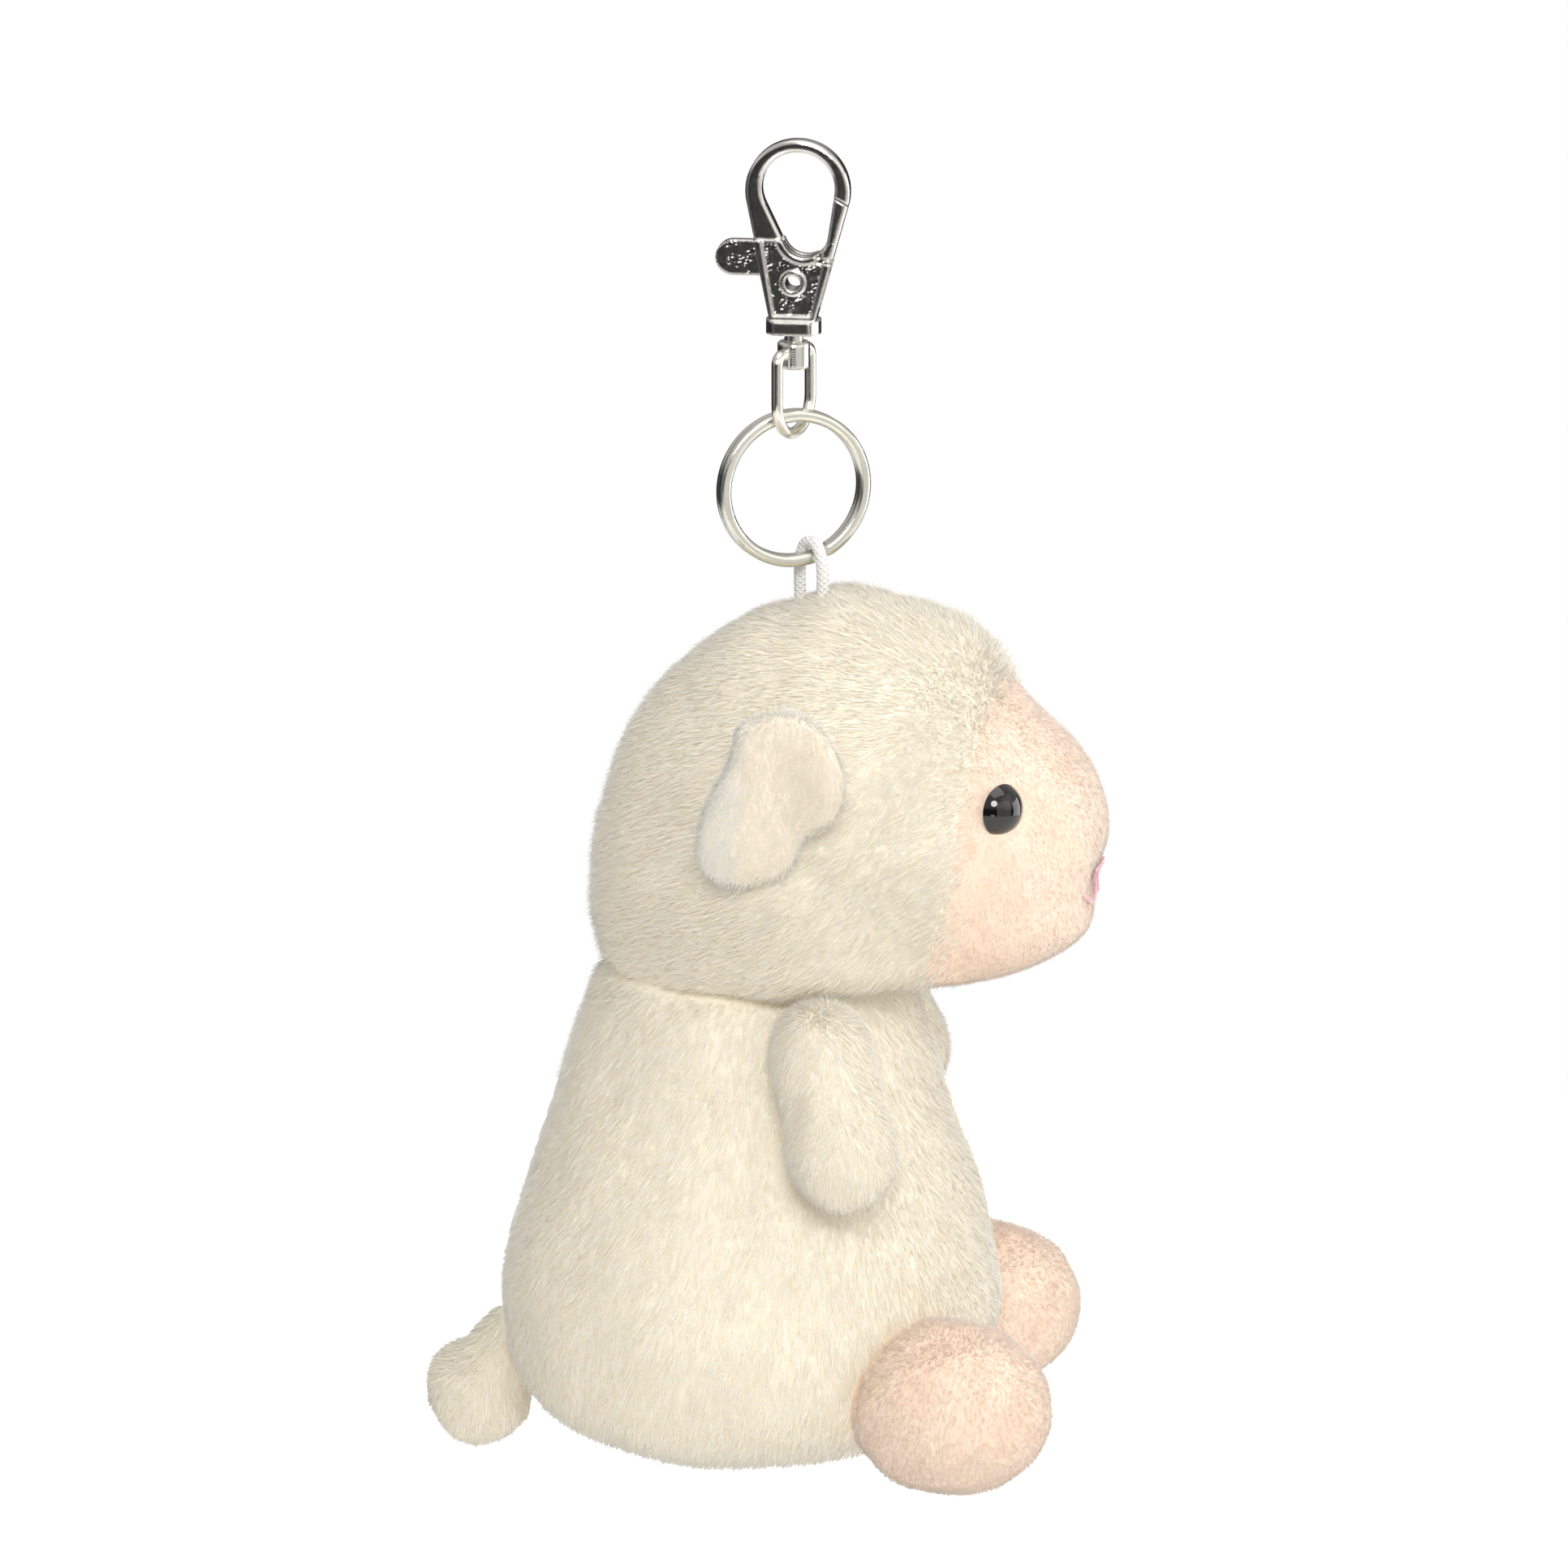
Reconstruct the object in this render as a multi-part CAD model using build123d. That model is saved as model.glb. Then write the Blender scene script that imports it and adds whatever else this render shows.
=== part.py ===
from build123d import *
import os
from math import asin, cos, pi, radians, sin, sqrt, tan

# Plush lamb keychain: a swivel snap hook, a wire bail, a split ring and a cord loop
# carry a small sewn lamb.  Millimetres, +Z up.  The origin is the inside of the hook's
# top, where the keychain hangs.  The lamb looks towards -Y; its right side is at -X.

# ---- driving dimensions -----------------------------------------------------------
# Snap hook (lies in the YZ plane)
SWIVEL_Y = 0.6                # the swivel's axis, beside the hook's middle
HOOK_OUTER_R = 6.45
HOOK_INNER_R = 4.5
HOOK_DEPTH = 2.4              # hook bar across X
RIM = 0.85                    # raised rim round the cheeks' sunk fields
FIELD_SHARE = 0.8             # a sunk field's width as a share of the cheek's
BODY_DEPTH = 3.6              # two cheeks and the slot between them
SLOT_WIDTH = 1.6
GATE_DEPTH = 1.3
PIVOT = (0.55, -16.2)         # rivet centre (Y, Z)
RIVET_R = 1.25
RIVET_HOLE_R = 0.95
RIVET_HEAD_R = 1.75
COLLAR_TOP = -20.9
COLLAR_BOTTOM = -22.6
TIP_R, TIP_GAP = 11.85, 0.15   # the hook's end and the gate's end are arcs about the pivot
TIP_TOP = -4.5

# Swivel
STUD_R = 1.15
FERRULE_R = 2.0
FERRULE_TOP = -23.7
FERRULE_BOTTOM = -27.0
EYE_Z = -25.0                 # the bail's pins

# Wire bail
BAIL_YAW = 158                # direction from the far leg to the near leg, about Z
BAIL_WIRE_R = 0.7
BAIL_HALF = 4.2               # half the spacing of the legs
BAIL_ARC_Z = -31.0            # centre of the round bottom

# Split ring
RING_YAW = 116.5
RING_Y = 0.6
RING_Z = -42.1
RING_R_OUT = 9.85
RING_R_IN = 8.35
COIL = 0.85                   # thickness of one coil along the ring's axis
COIL_GAP = 0.1
COIL_ROUND = 0.28
RING_START = 255              # where the outer coil's blunt end lies
RING_SPAN = 346

# Cord loop
CORD_YAW = 43
CORD_R = 0.75
CORD_ALONG_RING = -2.3        # the loop sits this far along the ring from its lowest point
CORD_ROUTE = [(-0.9, -67.0), (-2.4, -58.0), (-2.4, -49.1), (2.4, -49.1), (2.4, -58.0), (0.9, -67.0)]
CORD_FOLD_R = 1.5
KNOT_R = 2.5
KNOT_Z = -68.6

# Lamb
HEAD_Y = -1.6
HEAD_Z = -80.9
HEAD_R = 27.6
MUZZLE_C = (0, -19.8, -85.5)
MUZZLE_SEMI = (21.0, 18.6, 19.0)
HEAD_LOW = [(27.0, -96.0), (24.8, -103.5), (13.0, -108.0)]
PILE = 2.0                    # thickness of the sewn fabric with its pile
BODY_Y = 5.0
BODY_OUTLINE = [(21.5, -104.0), (24.0, -112.5), (31.0, -134.0), (32.3, -146.0), (28.5, -157.0), (17.0, -163.0)]
PELLET_C = (0, 5.0, -156.6)    # middle of the flat bag of plastic pellets
PELLET_R = 20.5
PELLET_HEIGHT = 6.0
BAG_CLOTH = 0.4
EYE_C = (17.4, -27.2, -78.0)
EYE_TURN = 40                 # the eyes look this far out from straight ahead
EYE_DOME_R = 3.55
EYE_DOME_SINK = 1.4           # the dome's centre lies this far below its rim
SHANK_R, SHANK = 0.9, 6.0
WASHER_R, WASHER, WASHER_Z = 3.2, 0.7, -4.9
NECK_GAP = 0.1

# Limbs: root centre, root radius, tip centre, tip radius (for the +X side)
ARM = ((23.0, -5.0, -106.5), 6.4, (29.0, -8.6, -119.6), 6.9)
EAR_ROOT = (26.2, -1.8, -66.5)
EAR_TIP = (30.6, 4.4, -80.2)
EAR_SEMI = (3.4, 8.2, 11.4)
FOOT_C = (22.5, -22.0, -152.7)
FOOT_SEMI = (11.6, 13.0, 10.6)
FOOT_TURN = 28
TAIL = ((0, 34.8, -149.3), 3.8, (0, 40.8, -158.8), 5.9)
JOINT_GAP = 0.35


def keep(name, shape):
    """Write one sub-part."""
    solids = shape.solids()
    export_step(solids[0] if len(solids) == 1 else Compound(children=solids), f"parts/{name}.step")


def mirror_x(point):
    return (-point[0], point[1], point[2])


def upright(origin, yaw):
    """A vertical plane: local x runs along the yaw direction, local y is +Z."""
    a = radians(yaw)
    return Plane(origin=origin, x_dir=(cos(a), sin(a), 0), z_dir=(sin(a), -cos(a), 0))


def ball(centre, radius):
    return Pos(*centre) * Sphere(radius)


def rod(centre, radius, length, direction):
    """A cylinder centred on a point, along a direction."""
    return Plane(origin=centre, z_dir=direction) * Cylinder(radius, length)


def ellipsoid(centre, semi, turn=(0, 0, 0)):
    return Pos(*centre) * Rot(*turn) * scale(Sphere(1), by=tuple(semi))


def lathe(points, top, bottom, centre_y):
    """A solid of revolution about a vertical axis, its side a smooth curve."""
    side = Spline(*[(r, z) for r, z in points])
    lid = Line((0, top), points[0])
    base = Line(points[-1], (0, bottom))
    face = make_face([lid, side, base, Line((0, bottom), (0, top))])
    return Pos(0, centre_y, 0) * revolve(Plane.XZ * face, Axis.Z)


def drop(root, r0, tip, r1, grow=0.0):
    """A round-ended taper between two spheres, grown evenly by 'grow'."""
    a, b = Vector(*root), Vector(*tip)
    length = (b - a).length
    r0, r1 = r0 + grow, r1 + grow
    s = (r0 - r1) / length
    c = sqrt(1 - s * s)
    half = radians(45) - asin(s) / 2
    outline = [
        ThreePointArc((0, -r0), (r0 * sin(half + asin(s)), -r0 * cos(half + asin(s))), (r0 * c, r0 * s)),
        Line((r0 * c, r0 * s), (r1 * c, length + r1 * s)),
        ThreePointArc((r1 * c, length + r1 * s), (r1 * sin(half), length + r1 * cos(half)), (0, length + r1)),
        Line((0, length + r1), (0, -r0)),
    ]
    body = revolve(Plane.XZ * make_face(outline), Axis.Z)
    return Plane(origin=a, z_dir=b - a) * body


# ---- snap hook ----------------------------------------------------------------------
def hook_plate(depth):
    """The hook's outer form in the YZ plane, without its eye."""
    top = Pos(0.05, -4.9) * Circle(HOOK_OUTER_R)
    foot = Pos(SWIVEL_Y, COLLAR_TOP + 0.1) * Rectangle(5.6, 0.2)
    return extrude(Plane.YZ * make_hull([*top.edges(), *foot.edges()]), depth / 2, both=True)


def hook_eye(grow=0.0, depth=10):
    """The teardrop opening that a bag's ring goes in."""
    top = Pos(-0.05, -HOOK_INNER_R) * Circle(HOOK_INNER_R + grow)
    low = Pos(-0.9, -10.2) * Circle(2.8 + grow)
    return extrude(Plane.YZ * make_hull([*top.edges(), *low.edges()]), depth, both=True)


def block(y0, y1, z0, z1, depth):
    return Pos(0, (y0 + y1) / 2, (z0 + z1) / 2) * Box(depth, y1 - y0, z1 - z0)


def rounded_hook():
    """The hook bar with its long edges rounded, front and back."""
    hook = hook_plate(HOOK_DEPTH) - hook_eye()
    faces = [hook.faces().sort_by(Axis.X)[0], hook.faces().sort_by(Axis.X)[-1]]
    return fillet([edge for face in faces for edge in face.edges()], 0.5)


def tip_sweep(radius):
    """What the end of the gate's arm passes over as it opens."""
    return rod((0, *PIVOT), radius, 10, (1, 0, 0))


def clasp_body():
    """Hook, two cheeks with raised rims, and the round collar below them."""
    hook = rounded_hook() - block(-8, 8, -30, -11.5, 10)
    cheeks = (hook_plate(BODY_DEPTH) & block(-8, 8, COLLAR_TOP, -10.9, 10)) - hook_eye()
    recess = sunk_field()
    for side in (-1, 1):
        cheeks -= recess & (Pos(side * (BODY_DEPTH / 2 + 0.05), 0, -15) * Box(1.0, 20, 30))
    collar = Pos(0, SWIVEL_Y, (COLLAR_TOP + COLLAR_BOTTOM) / 2) * Cylinder(3.4, COLLAR_TOP - COLLAR_BOTTOM)
    collar &= Pos(0, SWIVEL_Y, COLLAR_TOP) * Box(5.2, 6.8, 6)
    body = hook + cheeks + collar
    body -= block(-8, 8, -19.5, -10.6, SLOT_WIDTH)
    body -= tip_sweep(TIP_R) & block(-9, -2.3, -13.7, TIP_TOP, 10)
    body -= rod((0, *PIVOT), RIVET_R, 10, (1, 0, 0))
    return body - (Pos(0, SWIVEL_Y, -21.3) * Cylinder(STUD_R, 3.4))


def sunk_field():
    """The part of a cheek that is cast lower than the rim along its edges and its eye."""
    plate = hook_plate(10) & block(-8, 8, COLLAR_TOP + 0.6, -10.9, 10)
    narrowed = Pos(0, SWIVEL_Y * (1 - FIELD_SHARE), 0) * scale(plate, by=(1, FIELD_SHARE, 1))
    return narrowed - hook_eye(RIM)


def clasp_gate():
    """Gate arm, pivot disc and thumb tab, one casting."""
    y, z = PIVOT
    disc = rod((0, y, z), 3.0, GATE_DEPTH, (1, 0, 0))
    arm = rounded_hook() & block(-9, -3.1, -13.2, TIP_TOP, 10) & tip_sweep(TIP_R - TIP_GAP)
    web = block(-3.9, y, -15.2, -11.9, GATE_DEPTH) & hook_plate(GATE_DEPTH)
    web -= hook_eye()
    tab = block(y, 8.0, -15.5, -11.1, GATE_DEPTH)
    tab += rod((0, 8.0, -13.3), 2.2, GATE_DEPTH, (1, 0, 0))
    gate = disc + arm + web + tab - hook_eye(0.02)
    gate -= rod((0, y, z), RIVET_R + 0.08, 10, (1, 0, 0))
    return gate - rod((GATE_DEPTH / 2, y, z), 2.4, 1.6, (1, 0, 0))


def gate_spring():
    """Two turns of spring wire in the gate's pocket, round the rivet."""
    y, z = PIVOT
    turns = [Plane(origin=(x, y, z), z_dir=(1, 0, 0)) * Torus(1.85, 0.17) for x in (0.1, 0.38)]
    return turns[0] + turns[1]


def clasp_rivet():
    y, z = PIVOT
    half = BODY_DEPTH / 2 - 0.45
    rivet = rod((0, y, z), RIVET_R, 2 * half + 0.6, (1, 0, 0))
    for side in (-1, 1):
        rivet += rod((side * (half + 0.17), y, z), RIVET_HEAD_R, 0.34, (1, 0, 0))
    rims = rivet.edges().filter_by(GeomType.CIRCLE).sort_by(Axis.X)
    rivet = fillet([rims[0], rims[-1]], 0.24)
    return rivet - rod((0, y, z), RIVET_HOLE_R, 10, (1, 0, 0))


# ---- swivel, bail, ring ---------------------------------------------------------------
def swivel_stud():
    """Post pressed into the collar, with a head that holds the ferrule."""
    post = Pos(0, SWIVEL_Y, -23.1) * Cylinder(STUD_R, 7.0)
    return post + Pos(0, SWIVEL_Y, -26.55) * Cylinder(1.5, 0.5)


def swivel_ferrule():
    """Short barrel that turns on the stud and takes the bail's two pins."""
    height = FERRULE_TOP - FERRULE_BOTTOM
    barrel = Pos(0, SWIVEL_Y, (FERRULE_TOP + FERRULE_BOTTOM) / 2) * Cylinder(FERRULE_R, height)
    barrel = chamfer(barrel.edges().filter_by(GeomType.CIRCLE), 0.25)
    barrel -= Pos(0, SWIVEL_Y, -25) * Cylinder(STUD_R + 0.06, 10)
    barrel -= Pos(0, SWIVEL_Y, -27.0) * Cylinder(1.6, 2.0)
    a = radians(BAIL_YAW)
    return barrel - rod((0, SWIVEL_Y, EYE_Z), 0.5, 8, (cos(a), sin(a), 0))


def bail():
    """Round wire bent to a U; its ends turn in and are drawn down to pins."""
    b, top, arc, bend = BAIL_HALF, EYE_Z, BAIL_ARC_Z, 1.1
    k = bend * (1 - cos(pi / 4))
    start = 2.15
    path = Wire([
        Line((start, top), (b - bend, top)),
        ThreePointArc((b - bend, top), (b - k, top - k), (b, top - bend)),
        Line((b, top - bend), (b, arc)),
        ThreePointArc((b, arc), (0, arc - b), (-b, arc)),
        Line((-b, arc), (-b, top - bend)),
        ThreePointArc((-b, top - bend), (-b + k, top - k), (-b + bend, top)),
        Line((-b + bend, top), (-start, top)),
    ])
    wire = sweep(Plane(path @ 0, z_dir=path % 0) * Circle(BAIL_WIRE_R), path=path)
    for side in (-1, 1):
        wire += rod((side * 1.85, top, 0), 0.45, 1.1, (1, 0, 0))
    return upright((0, SWIVEL_Y, 0), BAIL_YAW) * wire


def split_ring():
    """Two coils of flat wire, joined where one steps across to the other."""
    middle = (RING_R_OUT + RING_R_IN) / 2
    offset_z = (COIL + COIL_GAP) / 2

    def section(side, angle):
        wire = RectangleRounded(RING_R_OUT - RING_R_IN, COIL, COIL_ROUND)
        face = Plane.XZ * Pos(middle, side * offset_z) * wire
        return Rot(0, 0, angle) * face

    ring = None
    for side in (-1, 1):
        coil = revolve(section(side, RING_START), Axis.Z, revolution_arc=RING_SPAN)
        ring = coil if ring is None else ring + coil
    step = loft([section(-1, RING_START + RING_SPAN), section(1, RING_START + 360)])
    return upright((0, RING_Y, RING_Z), RING_YAW) * (ring + step)


# ---- cord loop ----------------------------------------------------------------------
def cord_plane():
    a = radians(RING_YAW)
    return upright((CORD_ALONG_RING * cos(a), RING_Y + CORD_ALONG_RING * sin(a), 0), CORD_YAW)


def cord_path():
    radii = []
    for i in range(1, len(CORD_ROUTE) - 1):
        before = Vector(*CORD_ROUTE[i]) - Vector(*CORD_ROUTE[i - 1])
        after = Vector(*CORD_ROUTE[i + 1]) - Vector(*CORD_ROUTE[i])
        turn = before.get_angle(after)
        roomy = 0.45 * min(before.length, after.length) / tan(radians(turn / 2))
        radii.append(CORD_FOLD_R if turn > 45 else roomy)
    print("cord radii mm", [round(r, 2) for r in radii])
    return FilletPolyline(*CORD_ROUTE, radius=radii)


def hang_cord(radius=CORD_R):
    path = cord_path()
    tube = sweep(Plane(path @ 0, z_dir=path % 0) * Circle(radius), path=path)
    print("cord mm", round(path.length, 1), "volume ratio", tube.volume / (path.length * pi * radius ** 2))
    return cord_plane() * tube


def cord_knot():
    return cord_plane() * ball((0, KNOT_Z, 0), KNOT_R) - hang_cord()


# ---- lamb ---------------------------------------------------------------------------
def head_form(inset=0.0):
    """The wool head, fullest low down at the back like a hood, with its muzzle."""
    r = HEAD_R - inset
    dome = [
        (r * sin(radians(a)), HEAD_Z + r * cos(radians(a))) for a in (12, 38, 64, 90)
    ]
    low = [(radius - inset, z + (0 if i == 0 else inset)) for i, (radius, z) in enumerate(HEAD_LOW)]
    head = lathe(dome + low, HEAD_Z + r * cos(radians(12)), low[-1][1], HEAD_Y)
    muzzle = ellipsoid(MUZZLE_C, [s - inset for s in MUZZLE_SEMI])
    return head + muzzle


def face_side():
    """Everything in front of the seam between the wool and the face."""
    return Plane(origin=(0, -20.5, -88), z_dir=(0, -1, -0.2)) * (Pos(0, 0, 50) * Box(120, 120, 100))


def body_form(inset=0.0):
    points = [(r - inset, z + (inset if i == len(BODY_OUTLINE) - 1 else 0)) for i, (r, z) in enumerate(BODY_OUTLINE)]
    return lathe(points, BODY_OUTLINE[0][1], BODY_OUTLINE[-1][1] + inset, BODY_Y)


def pellet_form(grow=0.0):
    """A round flat bag in the bottom of the body."""
    return Pos(*PELLET_C) * Cylinder(PELLET_R + grow, PELLET_HEIGHT + 2 * grow)


def eye_frame(side):
    a = radians(EYE_TURN)
    out = (side * sin(a), -cos(a), 0)
    return Plane(origin=(side * EYE_C[0], EYE_C[1], EYE_C[2]), z_dir=out)


def eye(side):
    """Moulded safety eye: a low dome and its shank."""
    dome = (Pos(0, 0, -EYE_DOME_SINK) * Sphere(EYE_DOME_R)) & (Pos(0, 0, 2.5) * Box(9, 9, 5))
    shank = Pos(0, 0, -SHANK / 2) * Cylinder(SHANK_R, SHANK)
    return eye_frame(side) * (dome + shank)


def eye_washer(side):
    plate = Cylinder(WASHER_R, WASHER) - Cylinder(SHANK_R + 0.05, 2)
    return eye_frame(side) * (Pos(0, 0, WASHER_Z) * plate)


def eye_room(side):
    """What the dome, the shank and the washer take out of the cover and the filling."""
    above = Pos(0, 0, 2.5) * Box(9, 9, 5)
    shank = Pos(0, 0, -SHANK / 2) * Cylinder(SHANK_R + 0.05, SHANK + 0.2)
    washer = Pos(0, 0, WASHER_Z) * Cylinder(WASHER_R + 0.2, WASHER + 0.5)
    return eye_frame(side) * (above + shank + washer)


def nose_stitches():
    """Satin-stitched nose: a low oval pad on the front of the muzzle."""
    pad = ellipsoid((0, -37.7, -89.8), (2.6, 1.0, 1.5))
    return pad - ellipsoid(MUZZLE_C, MUZZLE_SEMI)


def foot_form(side, inset=0.0):
    centre = (side * FOOT_C[0], FOOT_C[1], FOOT_C[2])
    return ellipsoid(centre, [s - inset for s in FOOT_SEMI], (0, 0, side * FOOT_TURN))


def arm_form(side, grow=0.0):
    root, r0, tip, r1 = ARM
    if side < 0:
        root, tip = mirror_x(root), mirror_x(tip)
    return drop(root, r0, tip, r1, grow)


def tail_form(grow=0.0):
    return drop(*TAIL, grow)


def ear_frame(side):
    """Origin half way down the ear, local z along it towards its tip, local x outwards."""
    root, tip = Vector(*EAR_ROOT), Vector(*EAR_TIP)
    middle = (root + tip) * 0.5
    along = tip - root
    if side < 0:
        middle = Vector(-middle.X, middle.Y, middle.Z)
        along = Vector(-along.X, along.Y, along.Z)
    outward = Vector(side, 0, 0)
    outward = (outward - along * (outward.dot(along) / along.dot(along))).normalized()
    return Plane(origin=middle, x_dir=outward, z_dir=along)


def ear_form(side, grow=0.0):
    return ear_frame(side) * scale(Sphere(1), by=tuple(s + grow for s in EAR_SEMI))


def ear_halves(side):
    """The ear's wool back, which lies on the head, and its short-pile lining, which shows."""
    form = ear_form(side)
    inner_side = ear_frame(side) * (Pos(-10, 0, 0) * Box(20, 60, 60))
    return form & inner_side, form - inner_side


def build():
    keep("clasp_body", clasp_body())
    keep("clasp_gate", clasp_gate())
    keep("gate_spring", gate_spring())
    keep("clasp_rivet", clasp_rivet())
    keep("swivel_stud", swivel_stud())
    keep("swivel_ferrule", swivel_ferrule())
    keep("bail", bail())
    keep("split_ring", split_ring())
    cord, knot = hang_cord(), cord_knot()
    keep("hang_cord", cord)
    keep("cord_knot", knot)

    head, head_inner = head_form(), head_form(PILE)
    body = body_form() - head_form(-NECK_GAP)
    body_inner = body_form(PILE) - head_form(-NECK_GAP - PILE)
    recesses = {side: [arm_form(side, JOINT_GAP), ear_form(side, JOINT_GAP)] for side in (-1, 1)}
    tail_room = tail_form(JOINT_GAP)

    cover = head - head_inner - hang_cord(CORD_R + 0.05)
    for side in (-1, 1):
        for form in recesses[side]:
            cover -= form
        cover -= eye_room(side)
    keep("head_cover", cover - face_side())
    keep("face_cover", cover & face_side())

    stuffing = head_form(PILE + 0.05) - hang_cord(CORD_R + 0.1) - cord_plane() * ball((0, KNOT_Z, 0), KNOT_R + 0.1)
    for side in (-1, 1):
        for form in recesses[side]:
            stuffing -= form
        stuffing -= eye_room(side)
    keep("head_stuffing", stuffing)

    skin = body - body_inner - tail_room
    filling = body_form(PILE + 0.05) - head_form(-NECK_GAP - PILE - 0.05) - tail_room
    for side in (-1, 1):
        skin -= recesses[side][0]
        filling -= recesses[side][0]
    keep("body_cover", skin)
    keep("body_stuffing", filling - pellet_form(0.02))
    keep("pellet_bag", pellet_form() - pellet_form(-BAG_CLOTH))
    keep("pellet_fill", pellet_form(-BAG_CLOTH - 0.02))

    for side, word in ((-1, "right"), (1, "left")):
        keep(f"eye_{word}", eye(side))
        keep(f"eye_washer_{word}", eye_washer(side))
        back, lining = ear_halves(side)
        keep(f"ear_back_{word}", back)
        keep(f"ear_lining_{word}", lining)
        arm = arm_form(side)
        keep(f"arm_cover_{word}", arm - arm_form(side, -PILE))
        keep(f"arm_stuffing_{word}", arm_form(side, -PILE - 0.02))
        foot = foot_form(side) - body_form(-0.02)
        inner = foot_form(side, PILE) - body_form(-PILE)
        keep(f"foot_cover_{word}", foot - inner)
        keep(f"foot_stuffing_{word}", foot_form(side, PILE + 0.03) - body_form(-PILE - 0.03))
    keep("tail_cover", tail_form() - tail_form(-1.6))
    keep("tail_stuffing", tail_form(-1.62))
    keep("nose_stitches", nose_stitches())


os.makedirs("parts", exist_ok=True)
build()
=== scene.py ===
"""Plush lamb on a swivel snap hook.

The metal, the eyes and the inner pieces are the CAD frame's own nodes with materials. The wool, the face, the
ears, the cord and the stitched nose are made here, in millimetres, in the frame's axes: +Z up, -Y the way the
lamb looks, its right side at -X.
"""

import math

import bmesh
import bpy
import numpy as np
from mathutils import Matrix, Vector


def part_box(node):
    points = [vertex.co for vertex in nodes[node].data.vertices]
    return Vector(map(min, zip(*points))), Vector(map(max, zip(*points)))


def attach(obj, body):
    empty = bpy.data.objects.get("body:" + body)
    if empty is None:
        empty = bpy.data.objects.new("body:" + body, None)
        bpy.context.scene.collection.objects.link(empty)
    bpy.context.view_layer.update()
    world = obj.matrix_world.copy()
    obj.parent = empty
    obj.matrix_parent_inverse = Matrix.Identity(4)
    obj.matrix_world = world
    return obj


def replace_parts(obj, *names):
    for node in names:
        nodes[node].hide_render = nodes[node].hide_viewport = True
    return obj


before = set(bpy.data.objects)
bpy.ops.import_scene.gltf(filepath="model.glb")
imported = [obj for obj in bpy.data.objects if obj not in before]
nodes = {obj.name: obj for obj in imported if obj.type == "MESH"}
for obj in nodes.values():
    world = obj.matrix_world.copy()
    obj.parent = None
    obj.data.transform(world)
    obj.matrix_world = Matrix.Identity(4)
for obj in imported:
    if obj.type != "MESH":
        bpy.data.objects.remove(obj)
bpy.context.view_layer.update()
MM = 0.001


# ---------------------------------------------------------------- materials

def linear(*rgb):
    """0-255 screen values as linear colour, for the light colours used here."""
    return [((c / 255 + 0.055) / 1.055) ** 2.4 for c in rgb]


class Look:
    """A Principled material, with short calls for its nodes. Sizes are in millimetres."""

    def __init__(self, name, colour, roughness, **sockets):
        self.material = bpy.data.materials.new(name)
        self.material.use_nodes = True
        self.tree = self.material.node_tree
        self.shader = self.tree.nodes["Principled BSDF"]
        self.set("Base Color", (*colour, 1))
        self.set("Roughness", roughness)
        for socket, value in sockets.items():
            self.set(socket.replace("_", " "), value)
        self.last_bump = None

    def soft_edges(self, radius_mm):
        """Small rounds on the metal's edges, which catch the light."""
        self.last_bump = self.node("Bevel", {"Radius": radius_mm * MM}, samples=6).outputs[0]
        self.tree.links.new(self.last_bump, self.shader.inputs["Normal"])

    def set(self, socket, value):
        self.shader.inputs[socket].default_value = value

    def node(self, kind, inputs=None, **settings):
        n = self.tree.nodes.new("ShaderNode" + kind)
        for key, value in settings.items():
            setattr(n, key, value)
        for key, value in (inputs or {}).items():
            if isinstance(value, bpy.types.NodeSocket):
                self.tree.links.new(value, n.inputs[key])
            else:
                n.inputs[key].default_value = value
        return n

    def place(self):
        return self.node("TexCoord").outputs["Object"]

    def noise(self, size_mm, detail=3.0, rough=0.55, stretch=(1, 1, 1)):
        scale = [s / (size_mm * MM) for s in stretch]
        mapped = self.node("Mapping", {"Vector": self.place(), "Scale": scale})
        inputs = {"Vector": mapped.outputs[0], "Scale": 1.0, "Detail": detail, "Roughness": rough}
        return self.node("TexNoise", inputs).outputs["Fac"]

    def bands(self, size_mm, direction, distortion=0.0):
        mapped = self.node("Mapping", {"Vector": self.place(), "Scale": [1 / (size_mm * MM)] * 3})
        inputs = {"Vector": mapped.outputs[0], "Scale": 1 / math.tau, "Distortion": distortion}
        return self.node("TexWave", inputs, bands_direction=direction).outputs["Fac"]

    def maths(self, operation, a, b=0.0):
        return self.node("Math", {0: a, 1: b}, operation=operation).outputs[0]

    def tint(self, factor, stops):
        """Base colour from a factor, over (position, colour) stops."""
        ramp = self.node("ValToRGB", {"Fac": factor})
        ramp.color_ramp.elements[0].position = stops[0][0]
        ramp.color_ramp.elements[0].color = (*stops[0][1], 1)
        ramp.color_ramp.elements[1].position = stops[-1][0]
        ramp.color_ramp.elements[1].color = (*stops[-1][1], 1)
        for position, colour in stops[1:-1]:
            ramp.color_ramp.elements.new(position).color = (*colour, 1)
        self.tree.links.new(ramp.outputs["Color"], self.shader.inputs["Base Color"])

    def rough(self, factor, low, high):
        spread = self.node("MapRange", {"Value": factor, "To Min": low, "To Max": high})
        self.tree.links.new(spread.outputs[0], self.shader.inputs["Roughness"])

    def bump(self, height, depth_mm, strength=1.0):
        inputs = {"Height": height, "Distance": depth_mm * MM, "Strength": strength}
        if self.last_bump:
            inputs["Normal"] = self.last_bump
        self.last_bump = self.node("Bump", inputs).outputs[0]
        self.tree.links.new(self.last_bump, self.shader.inputs["Normal"])


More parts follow.
